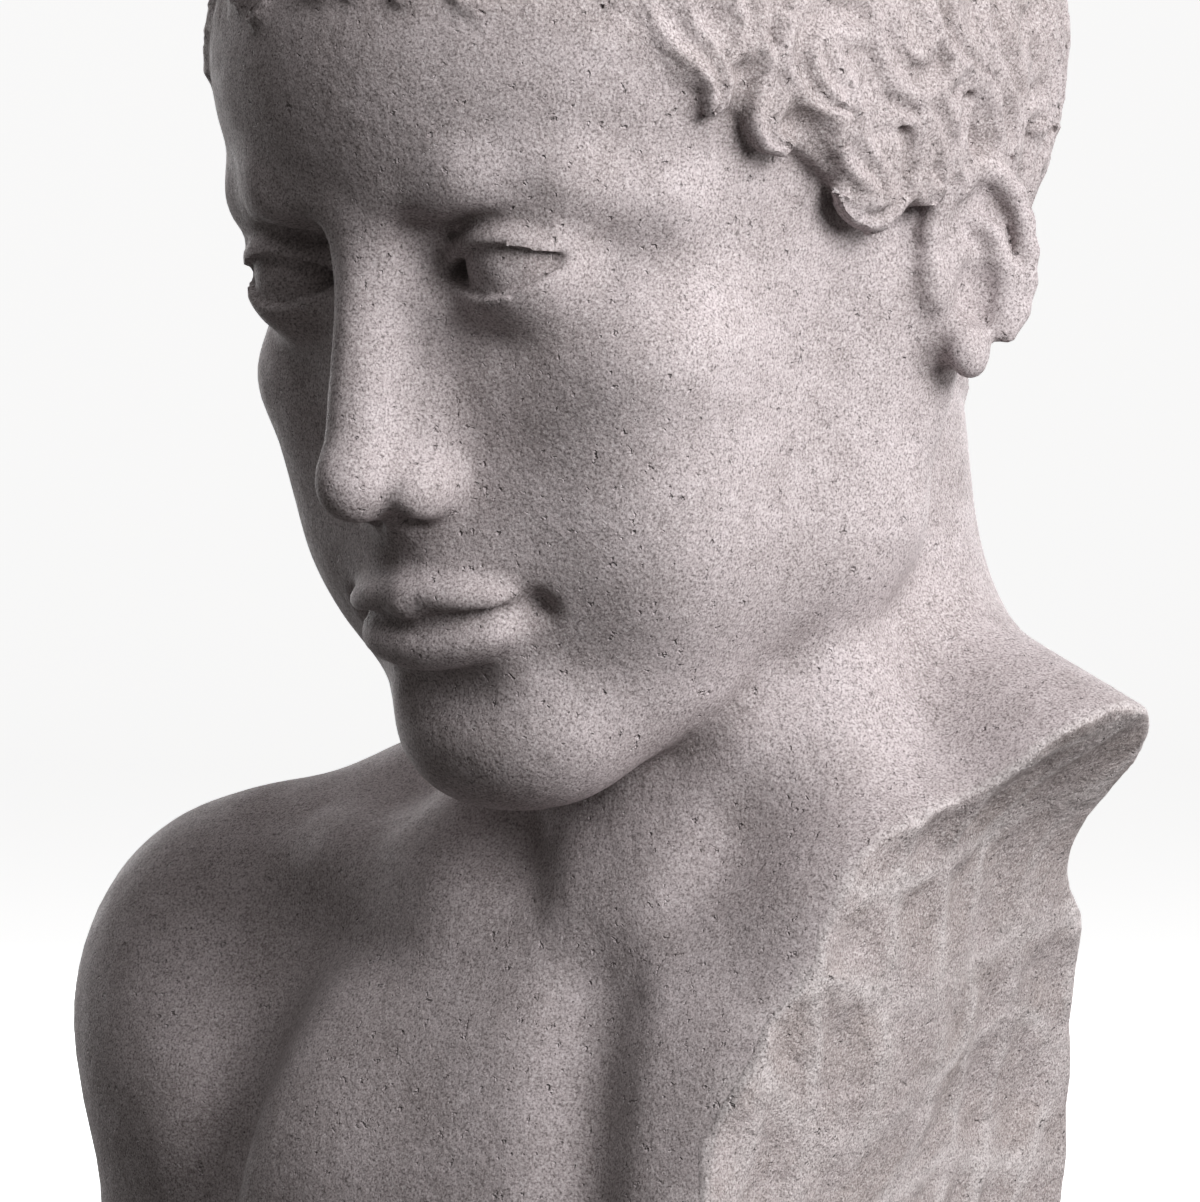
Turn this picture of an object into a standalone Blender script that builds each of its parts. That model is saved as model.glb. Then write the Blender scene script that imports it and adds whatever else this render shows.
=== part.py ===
# A bust carved from one block of pale marble: a young head, bowed and turned a little to its
# right, on a chest whose right shoulder is whole and whose left shoulder has broken away.
# Metres, +Z up. The chest faces -Y, +X is the figure's left, and the flat underside is Z = 0.
# The forms are built up and cut back as a signed distance, and a skin is laid over them. The head
# is drawn in units of 1/235 of its height, and the chest in units that are 1.1 times smaller.
import math
from concurrent.futures import ThreadPoolExecutor

import bmesh
import bpy
import numpy as np
from mathutils import Matrix

# Driving dimensions
HEAD_HEIGHT = 0.235          # chin to crown, with the hair
PIT_HEIGHT = 0.082           # pit of the neck above the flat underside
SHOULDER_REACH = 0.181       # middle of the neck to the outside of the whole arm
BREAK_REACH = 0.042          # middle of the neck to the broken face, low down
BREAK_FLARE = 0.057          # how far the broken face leans out at its top corner
HEAD_TURN = math.radians(4)  # to the figure's right
HEAD_NOD = math.radians(15)  # bowed forward
LOCK_LENGTH = 0.064
LOCK_WIDTH = 0.025
LOCK_RELIEF = 0.0095
GRID_STEP = 0.0024           # spacing of the grid that the skin is laid from
FACES = 9600                 # triangles that the skin is thinned to

# How willingly the skin is thinned on the chest, the hair and the face, from 0 to 1, and where
# the face begins, in units of the head
CHEST_PLAIN = 0.8
HAIR_PLAIN = 0.5
FACE_PLAIN = 0.42
FACE_BACK = -62.0

# One unit of the head and one of the chest, and the sizes above in units of the chest
HEAD_UNIT = HEAD_HEIGHT / 235.0
HEAD_SCALE = 1.1
UNIT = HEAD_UNIT / HEAD_SCALE
REACH = SHOULDER_REACH / UNIT
PIT = PIT_HEIGHT / UNIT

SKULL_CENTRE = np.array((0.0, 0.0, 146.0))
SKULL_RADII = np.array((78.0, 99.0, 85.0))
EAR_PLACE = (72.0, 8.0, 93.0)

# Hair: rows of sinuous locks that fall away from the whorl at the crown. A row is its angle from
# the whorl in degrees and its number of locks.
ROWS = (
    (9, 6), (24, 13), (40, 19), (57, 23), (73, 25),
    (89, 25), (105, 24), (121, 21), (136, 17), (150, 13),
)
SWAY = 4.4                   # how far a lock swings to each side
TIP_CURL = 5.2
SEED = 11
COMBED = {"soft": 1.3, "strands": 2.0, "bias": 1.0, "groove": 2.0, "channel": 1.7, "drill": 1.0}

# The broken side, in units of the chest
FLARE_FOOT = 8.0             # heights between which the broken face leans out
FLARE_TOP = 56.0
FLARE_SOFT = 14.0
TURN_IN = 0.12               # towards the back
BREAK_EDGE = 2.5


def vec(*values):
    return np.array(values, dtype=float)


def length(vectors):
    return np.sqrt(np.einsum("ij,ij->i", vectors, vectors))


def turn_matrix(pitch, roll, yaw):
    turns = Matrix.Identity(3)
    for angle, axis in ((pitch, "X"), (roll, "Y"), (yaw, "Z")):
        turns = Matrix.Rotation(math.radians(angle), 3, axis) @ turns
    return np.array(turns)


class Clay:
    # A lump that is built up and cut back: the distance to its surface at a set of points

    def __init__(self, points, block=1):
        self.points = points
        self.field = np.full(len(points), 60.0)
        # The points come in blocks of neighbours, so that a shape skips the blocks it can't reach
        groups = points.reshape(-1, block, 3)
        self.middles = groups.mean(axis=1)
        self.block_reach = length(groups[0] - self.middles[0]).max() + 0.1
        self.within = np.arange(block)
        self.middle = self.middles.mean(axis=0)
        self.girth = length(self.middles - self.middle).max() + self.block_reach

    def near(self, centre, reach):
        if np.linalg.norm(self.middle - centre) > reach + self.girth:
            return np.zeros(0, int)
        offset = self.middles - centre
        close = np.flatnonzero(length(offset) < reach + self.block_reach)
        return (close[:, None] * len(self.within) + self.within).ravel()

    def near_path(self, path, reach):
        centre = path.mean(axis=0)
        if np.linalg.norm(self.middle - centre) > reach + self.girth + length(path - centre).max():
            return np.zeros(0, int)
        gaps = np.min([length(self.middles - point) for point in path[::2]], axis=0)
        close = np.flatnonzero(gaps < reach + self.block_reach)
        return (close[:, None] * len(self.within) + self.within).ravel()

    def merge(self, index, shape, soft, carve):
        sign = -1.0 if carve else 1.0
        here = self.field[index] * sign
        mix = np.clip(0.5 + 0.5 * (here - shape) / soft, 0.0, 1.0)
        self.field[index] = sign * (here + (shape - here) * mix - soft * mix * (1.0 - mix))

    def ball(self, centre, radii, soft, carve=False, turn=(0, 0, 0)):
        centre = np.asarray(centre, float)
        radii = np.asarray(radii, float)
        index = self.near(centre, radii.max() + soft + 12.0)
        if len(index) == 0:
            return
        local = (self.points[index] - centre) @ turn_matrix(*turn)
        ratio = length(local / radii)
        slope = length(local / radii ** 2) + 1e-9
        self.merge(index, ratio * (ratio - 1.0) / slope, soft, carve)

    def limb(self, start, end, start_radius, end_radius, soft, carve=False):
        start = np.asarray(start, float)
        end = np.asarray(end, float)
        run = end - start
        reach = np.linalg.norm(run) / 2 + max(start_radius, end_radius) + soft + 12.0
        index = self.near((start + end) / 2, reach)
        if len(index) == 0:
            return
        local = self.points[index] - start
        along = np.clip(local @ run / (run @ run), 0.0, 1.0)
        shape = length(local - along[:, None] * run)
        shape -= start_radius + (end_radius - start_radius) * along
        self.merge(index, shape, soft, carve)

    def chain(self, points, radii, soft, carve=False):
        for place in range(len(points) - 1):
            self.limb(points[place], points[place + 1], radii[place], radii[place + 1], soft, carve)

    def lock(self, path, outward, lifts, widths, heights, style):
        # A ribbon of hair along a path, hollowed along its middle, with a drilled channel round it
        index = self.near_path(path, widths.max() + 6.0)
        if len(index) == 0:
            return
        points = self.points[index]
        best = np.full(len(index), 1e9)
        across = np.zeros(len(index))
        rise = np.zeros(len(index))
        over = np.zeros(len(index))
        share = np.zeros(len(index))
        steps = len(path) - 1
        for place in range(steps):
            run = path[place + 1] - path[place]
            span = np.linalg.norm(run)
            ahead = run / span
            up = outward[place] - ahead * (outward[place] @ ahead)
            up /= np.linalg.norm(up)
            side = np.cross(up, ahead)
            local = points - path[place]
            along = np.clip(local @ ahead / span, 0.0, 1.0)
            gap = local - along[:, None] * run
            away = np.einsum("ij,ij->i", gap, gap)
            closer = away < best
            best[closer] = away[closer]
            gap = gap[closer]
            across[closer] = gap @ side
            rise[closer] = gap @ up
            over[closer] = gap @ ahead
            share[closer] = (place + along[closer]) / steps
        ticks = np.linspace(0.0, 1.0, len(path))
        wide = np.interp(share, ticks, widths)
        high = np.interp(share, ticks, heights)
        lift = np.interp(share, ticks, lifts)
        across /= wide
        ratio = np.sqrt(across ** 2 + (rise / high) ** 2 + (over / wide) ** 2)
        shape = (ratio - 1.0) * np.minimum(wide, high)
        if style["channel"]:
            channel = shape - style["channel"] * np.clip(3.0 * share - 0.6, 0.0, 1.0)
            channel = np.maximum(channel, -(rise + lift) - style["drill"])
            self.merge(index, channel, 1.2, True)
        score = 0.5 + 0.5 * np.cos(2.0 * math.pi * style["strands"] * (across + style["bias"]) / 2.0)
        shape += style["groove"] * score * np.clip(1.15 - across ** 2, 0.0, 1.0) * np.minimum(high / 7.0, 1.0)
        self.merge(index, shape, style["soft"], False)


def hair_zone(points):
    # How far inside the hairline a point is: behind the temples, above the ears and the nape
    y = points[..., 1]
    z = points[..., 2]
    temple = 0.78 * (y + 103.0) + 0.62 * (z - 196.0)
    ear = z - 111.0
    nape = np.minimum(0.92 * (y - 14.0) + 0.39 * (z - 80.0), z - 46.0)
    inside = np.minimum(temple, np.maximum(ear, nape))
    gap = np.stack((np.abs(points[..., 0]) - EAR_PLACE[0], y - EAR_PLACE[1], z - EAR_PLACE[2]), axis=-1)
    return np.minimum(inside, np.sqrt((gap ** 2).sum(axis=-1)) - 23.0)


def on_skull(point):
    # The nearest carried point of the head, and the outward direction there: the skull above the
    # ears, and below them level rings that narrow to the neck
    if point[2] > 105.0:
        ray = point - SKULL_CENTRE
        foot = SKULL_CENTRE + ray / np.linalg.norm(ray / SKULL_RADII)
        outward = (foot - SKULL_CENTRE) / SKULL_RADII ** 2
    else:
        drop = (point[2] - SKULL_CENTRE[2]) / SKULL_RADII[2]
        ring = math.sqrt(max(1.0 - drop ** 2, 0.34))
        foot = point * ring / math.hypot(point[0] / SKULL_RADII[0], point[1] / SKULL_RADII[1])
        foot[2] = point[2]
        outward = foot / SKULL_RADII ** 2
        outward[2] = drop / SKULL_RADII[2] if ring > 0.59 else 0.0
    return foot, outward / np.linalg.norm(outward)


def skull_place(azimuth, height):
    # Azimuth from the face towards the figure's left, height above the skull's middle, degrees
    azimuth = math.radians(azimuth)
    height = math.radians(height)
    ray = vec(math.sin(azimuth) * math.cos(height), -math.cos(azimuth) * math.cos(height), math.sin(height))
    return on_skull(SKULL_CENTRE + ray * 90.0)[0]


def lock_path(root, heading, span, sway, curl):
    # The middle line of a lock on the skull: it swings to one side and back, and curls at its tip
    steps = 15
    point, outward = on_skull(root)
    feet = []
    normals = []
    for place in range(steps):
        share = place / (steps - 1)
        feet.append(point)
        normals.append(outward)
        swing = sway * math.cos(2.0 * math.pi * share) + 3.0 * curl * share ** 2
        heading = heading - outward * (heading @ outward)
        heading /= np.linalg.norm(heading)
        aside = np.cross(outward, heading)
        angle = swing / (steps - 1)
        heading = heading * math.cos(angle) + aside * math.sin(angle)
        point, outward = on_skull(point + heading * span / (steps - 1))
    return np.array(feet), np.array(normals)


def comb_lock(root, heading, size, sway, curl, rise=1.0, trim=True):
    # One lock, shortened until its tip stays close to the hairline
    span = size * LOCK_LENGTH / HEAD_UNIT
    feet, normals = lock_path(root, heading, span, sway, curl)
    while trim and hair_zone(feet[-1]) < -4.0 and span > 26.0:
        span *= 0.88
        feet, normals = lock_path(root, heading, span, sway, curl)
    if trim and hair_zone(feet[-1]) < -4.0:
        return []
    shares = np.linspace(0.0, 1.0, len(feet))
    body = np.minimum(1.0, 0.5 + 1.6 * shares) * np.clip(1.03 - shares ** 2.6, 0.0, 1.0) ** 0.6
    widths = 0.5 * LOCK_WIDTH / HEAD_UNIT * min(1.15, size) * body + 0.7
    heights = LOCK_RELIEF / HEAD_UNIT * (0.35 + 0.5 * body)
    lifts = (-1.0 + 7.0 * shares) * rise
    return [(feet + normals * lifts[:, None], normals, lifts, widths, heights, COMBED)]


def comb_rows():
    # The outer rows come first, so that the tips of each row lie over the roots of the next
    locks = []
    dice = np.random.default_rng(SEED)
    outward = on_skull(skull_place(180.0, 58.0))[1]
    first = np.cross(outward, vec(1.0, 0.0, 0.0))
    first /= np.linalg.norm(first)
    second = np.cross(outward, first)
    for row, (angle, count) in reversed(list(enumerate(ROWS))):
        for place in range(count):
            drift, slant, scale = dice.uniform(-1.0, 1.0, 3)
            round_angle = 2.0 * math.pi * (place + 0.5 * (row % 2) + 0.12 * drift) / count
            ray = first * math.cos(round_angle) + second * math.sin(round_angle)
            tilt = math.radians(angle + 2.5 * drift)
            root = on_skull(SKULL_CENTRE + (outward * math.cos(tilt) + ray * math.sin(tilt)) * 90.0)[0]
            if hair_zone(root) < 4.0:
                continue
            heading = ray * math.cos(tilt) - outward * math.sin(tilt)
            heading += 0.35 * slant * np.cross(outward, ray)
            side = 1.0 if (place + row) % 2 else -1.0
            sway = side * SWAY
            size = (0.95 + 0.14 * scale) * min(1.0, 0.62 + 0.10 * row)
            locks += comb_lock(root, heading, size, sway, side * TIP_CURL * 0.42)
    return locks


# Locks set by hand on each side: azimuth and height of the root, heading (sideways, down), size,
# swing to and fro, curl of the tip
SIDE_LOCKS = (
    ((58.0, 8.0), (-0.9, 0.5), 0.80, 2.6, 6.4),
    ((66.0, 0.0), (-0.9, 0.7), 0.74, -2.4, 5.6),
    ((71.0, -7.0), (-0.5, 1.0), 0.62, 3.2, -4.6),
    ((50.0, 19.0), (-0.8, 0.7), 0.72, -3.0, 5.2),
    ((88.0, 6.0), (-0.7, 0.8), 0.86, 4.4, -3.4),
    ((106.0, 4.0), (-0.6, 0.9), 0.90, -4.4, 3.0),
)


def comb_sides():
    locks = []
    for side in (-1, 1):
        for (azimuth, height), (aside, down), size, sway, curl in SIDE_LOCKS:
            root, outward = on_skull(skull_place(side * azimuth, height))
            level = np.cross(vec(0.0, 0.0, 1.0), outward)
            level /= np.linalg.norm(level)
            heading = level * side * aside - np.cross(outward, level) * down
            locks += comb_lock(root, heading, size, side * sway, side * curl, 1.35, False)
    return locks


HAIR_LOCKS = comb_rows() + comb_sides()


def model_hair(clay):
    index = clay.near(SKULL_CENTRE, 135.0)
    if len(index) == 0:
        return
    local = clay.points[index] - SKULL_CENTRE
    radii = SKULL_RADII + 2.0
    ratio = length(local / radii)
    cap = ratio * (ratio - 1.0) / (length(local / radii ** 2) + 1e-9)
    cap = np.maximum(cap, -hair_zone(clay.points[index]))
    clay.merge(index, cap, 2.0, False)
    clay.ball((0, 6, 86), (49, 56, 56), 8)
    for lock in HAIR_LOCKS:
        clay.lock(*lock)


def soft_max(first, second, soft):
    mix = np.clip(0.5 + 0.5 * (first - second) / soft, 0.0, 1.0)
    return second + (first - second) * mix + soft * mix * (1.0 - mix)


def model_eye(clay, side):
    # The lids as one bulge, an almond opening cut down to the eyeball, and the fold over the lid
    centre = vec(side * 31.0, -80.5, 117.0)
    clay.ball(centre, (15.2, 15.2, 15.2), 5)
    index = clay.near(centre, 26.0)
    if len(index):
        local = clay.points[index] - centre
        share = local[:, 0] * side / 15.0
        upper = 5.8 * (1.0 - share ** 2) + 1.0 * share
        lower = -4.6 * (1.0 - share ** 2) + 1.0 * share
        almond = soft_max(soft_max(local[:, 2] - upper, lower - local[:, 2], 0.8), local[:, 1] + 4.0, 0.8)
        clay.merge(index, soft_max(almond, 13.0 - length(local), 0.4), 0.6, True)
    fold = []
    for step in range(9):
        turn = math.radians(-56.0 + 14.0 * step)
        up = math.radians(41.0 - 13.0 * ((step - 4.2) / 4.2) ** 2)
        ray = vec(side * math.sin(turn) * math.cos(up), -math.cos(turn) * math.cos(up), math.sin(up))
        fold.append(centre + ray * 16.0)
    clay.chain(fold, [0.9] * len(fold), 1.6, carve=True)


def model_ear(clay, side):
    middle = vec(side * EAR_PLACE[0], EAR_PLACE[1], EAR_PLACE[2])
    lean = math.radians(14.0)
    size = 0.78

    def place(back, up, out):
        along = (back * math.cos(lean) + up * math.sin(lean)) * size
        rise = (up * math.cos(lean) - back * math.sin(lean)) * size
        return middle + vec(side * (out + 0.30 * (back + 12.0)) * size, along, rise)

    def radii(*values):
        return [value * size for value in values]

    clay.ball(place(0, 0, -4), radii(9, 15, 26), 7, turn=(-14, 0, side * -17))
    angles = [math.radians(205.0 - 20.0 * step) for step in range(14)]
    rim = [place(15.5 * math.cos(angle), 3.0 + 25.0 * math.sin(angle), 2.5) for angle in angles]
    clay.chain(rim, radii(*[3.2 + 0.5 * math.sin(angle) for angle in angles]), 1.6)
    clay.ball(place(-1, -8, 5), radii(7, 8.5, 12), 2.5, carve=True, turn=(-14, 0, 0))
    clay.ball(place(0, 12, 4.5), radii(4.5, 9, 9), 2.5, carve=True, turn=(-14, 0, 0))
    fold = [place(7, -16, 1), place(10, -2, 2), place(5, 10, 1.5), place(-3, 16, 0)]
    clay.chain(fold, radii(2.8, 3.2, 2.8, 2.2), 2.0)
    clay.ball(place(-2, -22, 1), radii(4.8, 7, 8), 3)
    clay.ball(place(-13, -5, 1), radii(4.2, 4.8, 7), 2.5)


def model_head(points, block):
    clay = Clay(points, block)
    # Skull, forehead and face
    clay.ball(SKULL_CENTRE, SKULL_RADII - vec(2, 1, 2), 1)
    clay.ball((0, -44, 158), (65, 53, 52), 18)
    clay.ball((0, -35, 96), (62, 60, 80), 14)
    clay.ball((0, -74, 50), (30, 27, 30), 14)
    # Chin, jaw and the floor of the mouth
    clay.ball((0, -79, 15), (20, 18, 15), 10)
    clay.ball((0, -45, 22), (38, 42, 17), 12)
    for side in (-1, 1):
        clay.limb((side * 12, -73, 18), (side * 43, -24, 42), 15, 14, 18)
        clay.limb((side * 43, -24, 42), (side * 57, -2, 88), 14, 12, 22)
        clay.ball((side * 44, -64, 92), (18, 18, 13), 16)
        clay.ball((side * 34, -62, 60), (22, 23, 30), 20)
        brow = [(side * 9, -89, 131), (side * 26, -88, 136), (side * 43, -78.5, 133), (side * 55, -62, 124)]
        clay.chain(brow, (4.5, 4.5, 4.0, 3.5), 12)
        clay.ball((side * 31, -97, 119), (18.5, 13, 10.5), 5, carve=True)
        clay.ball((side * 15, -98, 122), (6, 8, 8), 6, carve=True)
    # Nose
    clay.limb((0, -84, 122), (0, -97, 77), 9, 12.5, 9)
    clay.limb((0, -92.5, 128), (0, -109, 82), 6.5, 7.5, 6)
    clay.ball((0, -111, 77), (8.2, 9.2, 8.0), 5)
    for side in (-1, 1):
        clay.ball((side * 10.6, -101.5, 73.5), (5.4, 9.2, 6.4), 3.5)
        clay.ball((side * 5.6, -106, 67.2), (3.2, 6.0, 2.8), 2, carve=True)
        model_eye(clay, side)
    # Mouth
    clay.ball((0, -101, 28.5), (17, 6, 4.5), 8, carve=True)
    clay.limb((0, -106, 64), (0, -107, 54), 1.5, 2.0, 4, carve=True)
    for side in (-1, 1):
        clay.ball((side * 9, -97.5, 50.0), (14, 7.2, 4.6), 3, turn=(0, side * 8, side * 16))
        clay.ball((side * 7, -97.0, 39.8), (14, 7.6, 5.4), 4, turn=(0, side * -6, side * 14))
    clay.ball((0, -100.5, 49), (5, 6, 4), 3)
    slit = [(x, -104.2 + 0.021 * x * x, 45.4 - 0.8 * math.cos(x / 5.0)) for x in range(-24, 25, 4)]
    clay.chain(slit, [1.0] * len(slit), 1.4, carve=True)
    for side in (-1, 1):
        clay.ball((side * 25.0, -90.5, 45), (2.0, 3.4, 2.4), 5, carve=True)
    model_hair(clay)
    for side in (-1, 1):
        model_ear(clay, side)
    return clay


def to_head(points):
    # From the chest's frame to the head's: chin level, the ears' axis, face to -Y
    seat = vec(-7.5, 63.5, 56.7)
    turns = Matrix.Rotation(-HEAD_TURN, 3, "Z")
    turns = turns @ Matrix.Rotation(HEAD_NOD, 3, "X")
    return (points - seat) @ np.array(turns) / HEAD_SCALE


def model_neck(clay):
    clay.limb((0, 62, 4), (0, 52, 130), 52, 47, 18)
    clay.limb((0, 78, 46), (0, 60, 140), 40, 38, 22)
    for side in (-1, 1):
        # The muscle from behind the ear to the breastbone, and its outer head on the collarbone
        cord = [(side * 56, 46, 150), (side * 46, 34, 100), (side * 27, 16, 48), (side * 9, 4, 6)]
        clay.chain(cord, (12, 12, 10, 6), 12)
        clay.limb((side * 42, 32, 62), (side * 34, 16, 10), 8, 6, 14)
    # Windpipe, down to the pit between the collarbones
    clay.limb((0, 11, 3), (0, 16, 62), 10, 14, 18)


def model_chest(clay):
    arm = REACH - 47.0
    clay.ball((0, 58, -90), (130, 86, 122), 1)
    clay.ball((0, 66, -60), (140, 60, 88), 30)
    for side in (-1, 1):
        # Slope of the shoulder, cap of the shoulder and arm
        lift = 8.0 if side > 0 else 0.0
        clay.limb((side * 24, 78, 56), (side * arm, 54, -8 + lift), 30, 31, 30)
        clay.limb((side * 40, 40, 4), (side * arm, 46, -10), 26, 30, 26)
        clay.ball((side * arm, 50, -26), (47, 48, 50), 22)
        clay.limb((side * arm, 50, -34), (side * (arm + 2), 50, -170), 43, 41, 16)
        # Breast and its outer end under the arm
        clay.ball((side * 68, 10, -76), (70, 30, 56), 32, turn=(0, side * 12, side * -8))
        clay.limb((side * 76, 12, -54), (side * (arm - 10), 26, -44), 25, 24, 24)
        # Collarbone
        collar = [(side * 18, 8, -2), (side * 52, 9, 5), (side * 98, 22, 12), (side * 140, 38, 16)]
        clay.chain(collar, (8, 7, 7, 8), 18)
        # Groove between shoulder and breast
        clay.limb((side * 104, -4, -2), (side * 122, -10, -76), 3, 5, 26, carve=True)
        # Shoulder blade
        clay.ball((side * 74, 112, -50), (48, 20, 60), 20, turn=(0, side * 10, 0))
    clay.limb((0, -8, -18), (0, -36, -150), 1.0, 2.5, 16, carve=True)
    clay.limb((0, 138, 10), (0, 150, -150), 4, 6, 22, carve=True)


# The broken side: a wavy, nearly upright face that leans out above the collarbone to its top corner
def break_depth(points):
    y = points[:, 1]
    z = points[:, 2]
    steep = BREAK_FLARE / UNIT / (FLARE_TOP - FLARE_FOOT)
    above = (np.minimum(z, FLARE_TOP + 8.0) - FLARE_FOOT) / FLARE_SOFT
    lean = steep * FLARE_SOFT * np.logaddexp(0.0, above)
    reach = BREAK_REACH / UNIT + lean - TURN_IN * np.maximum(y - 40.0, 0.0)
    bend_y = y + 14.0 * np.sin(z / 33.0 + 0.4) + 7.0 * np.sin(y / 17.0 + z / 29.0 + 2.0)
    bend_z = z + 13.0 * np.sin(y / 37.0 + 0.6) + 6.0 * np.sin(z / 16.0 - y / 23.0)
    waves = 1.7 * np.sin(bend_y / 19.0 + 0.5) + 1.6 * np.sin(bend_z / 17.0 + 1.0)
    waves += 0.8 * np.sin(bend_y / 7.9) * np.sin(bend_z / 10.3)
    waves += 0.5 * np.sin(bend_y / 4.3 + 1.0) * np.sin(bend_z / 3.9)
    slope = np.sqrt(1.4 + (steep * np.exp(-np.logaddexp(0.0, -above))) ** 2)
    return (points[:, 0] - reach - waves) / slope


def model_bust(points, block=1):
    clay = Clay(points, block)
    model_chest(clay)
    model_neck(clay)
    everywhere = np.arange(len(points))
    clay.merge(everywhere, -break_depth(points), BREAK_EDGE, True)
    clay.merge(everywhere, model_head(to_head(points), block).field * HEAD_SCALE, 5.0, False)
    return clay.field


def sample_field(low, counts, step):
    # The field on a grid. Blocks of the grid that lie well off the surface keep the value at their
    # middle. The points of the other blocks are worked out, one brick of blocks at a time.
    size = 5
    brick = 8
    blocks = counts // size
    spots = np.stack(np.meshgrid(*[np.arange(count) for count in blocks], indexing="ij"), axis=-1)
    spots = spots.reshape(-1, 3)
    names = (spots // brick) @ np.array((10000, 100, 1))
    order = np.argsort(names, kind="stable")
    cuts = np.flatnonzero(np.diff(names[order])) + 1
    middles = np.empty(len(spots))
    inner = np.stack(np.meshgrid(*[np.arange(size)] * 3, indexing="ij"), axis=-1).reshape(-1, 3)
    field = np.empty((len(spots), size ** 3), np.float32)

    def fill_brick(members):
        middles[members] = model_bust(low + (spots[members] * size + (size - 1) / 2) * step)
        field[members] = middles[members][:, None]
        close = members[np.abs(middles[members]) < size * step + 4.0]
        if len(close):
            points = (spots[close][:, None, :] * size + inner[None, :, :]).reshape(-1, 3)
            field[close] = model_bust(low + points * step, size ** 3).reshape(len(close), -1)

    with ThreadPoolExecutor(4) as pool:
        list(pool.map(fill_brick, np.split(order, cuts)))
    field = field.reshape(tuple(blocks) + (size, size, size))
    return field.transpose(0, 3, 1, 4, 2, 5).reshape(blocks * size)


def lay_skin(field, low, step):
    # Surface nets: one corner in each grid cell that the surface crosses, and one quad round each
    # grid edge that it crosses
    strides = np.array((field.shape[1] * field.shape[2], field.shape[2], 1))
    inside = field < 0.0
    rings = []
    crossings = []
    for axis in range(3):
        here = [slice(1, -1)] * 3
        there = [slice(1, -1)] * 3
        here[axis] = slice(0, -1)
        there[axis] = slice(1, None)
        spots = np.argwhere(inside[tuple(here)] != inside[tuple(there)])
        spots += np.array([0 if other == axis else 1 for other in range(3)])
        ends = spots + np.eye(3, dtype=int)[axis]
        first = field[tuple(spots.T)]
        second = field[tuple(ends.T)]
        places = spots @ strides
        before, after = [strides[other] for other in ((axis + 1) % 3, (axis + 2) % 3)]
        ring = np.stack((places, places - before, places - before - after, places - after), axis=1)
        inward = first >= 0.0
        ring[inward] = ring[inward][:, ::-1]
        spots = spots.astype(float)
        spots[:, axis] += first / (first - second)
        rings.append(ring)
        crossings.append(np.repeat(spots, 4, axis=0))
    rings = np.concatenate(rings)
    crossings = np.concatenate(crossings)
    names, index = np.unique(rings.ravel(), return_inverse=True)
    number = np.bincount(index)
    corners = np.stack([np.bincount(index, crossings[:, axis]) / number for axis in range(3)], axis=1)
    return low + corners * step, index.reshape(-1, 4)


def make_block():
    # The skin of the bust in the chest's frame, in units, reaching below the flat cut
    step = GRID_STEP / UNIT
    low = vec(-REACH - 12.0, -95.0, -PIT - 12.0)
    high = vec((BREAK_REACH + BREAK_FLARE) / UNIT + 26.0, 175.0, 330.0)
    counts = np.ceil((high - low) / step / 5).astype(int) * 5
    field = sample_field(low, counts, step)
    floor = low[2] + 2.5 * step - (low[2] + np.arange(counts[2]) * step)
    return lay_skin(np.maximum(field, floor), low, step)


def thin_skin(block):
    # Fewer, larger triangles: smallest on the face, and largest on the plain chest, arm and back
    close = block.modifiers.new("Close", "REMESH")
    close.mode = "VOXEL"
    close.voxel_size = GRID_STEP * 0.9
    graph = bpy.context.evaluated_depsgraph_get()
    skin = bpy.data.meshes.new_from_object(block.evaluated_get(graph))
    block.modifiers.clear()
    block.data = skin
    plain = block.vertex_groups.new(name="Plain")
    corners = np.array([corner.co for corner in skin.vertices])
    corners = (corners - vec(0.0, 0.0, PIT_HEIGHT)) / UNIT
    shares = np.clip(1.0 - corners[:, 2] / 110.0, HAIR_PLAIN, CHEST_PLAIN)
    shares[to_head(corners)[:, 1] < FACE_BACK] = FACE_PLAIN
    for share in np.unique(shares.round(2)):
        plain.add(np.flatnonzero(shares.round(2) == share).tolist(), float(share), "REPLACE")
    even = block.modifiers.new("Even", "SMOOTH")
    even.factor = 0.5
    even.iterations = 2
    thin = block.modifiers.new("Thin", "DECIMATE")
    thin.vertex_group = "Plain"
    thin.vertex_group_factor = 1.0
    thin.ratio = FACES / sum(len(face.vertices) - 2 for face in skin.polygons)
    graph = bpy.context.evaluated_depsgraph_get()
    return bpy.data.meshes.new_from_object(block.evaluated_get(graph))


def cut_base(mesh):
    # The flat cut, and the origin below the middle of the bust's box
    shape = bmesh.new()
    shape.from_mesh(mesh)
    everything = shape.verts[:] + shape.edges[:] + shape.faces[:]
    bmesh.ops.bisect_plane(
        shape, geom=everything, dist=1e-5, plane_co=(0, 0, 0), plane_no=(0, 0, 1), clear_inner=True
    )
    rim = [edge for edge in shape.edges if edge.is_boundary]
    bmesh.ops.contextual_create(shape, geom=rim)
    bmesh.ops.triangulate(shape, faces=shape.faces[:])
    bmesh.ops.recalc_face_normals(shape, faces=shape.faces[:])
    across = [corner.co.x for corner in shape.verts]
    along = [corner.co.y for corner in shape.verts]
    shift = (-(min(across) + max(across)) / 2, -(min(along) + max(along)) / 2, 0.0)
    bmesh.ops.translate(shape, vec=shift, verts=shape.verts[:])
    shape.to_mesh(mesh)
    shape.free()


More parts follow.
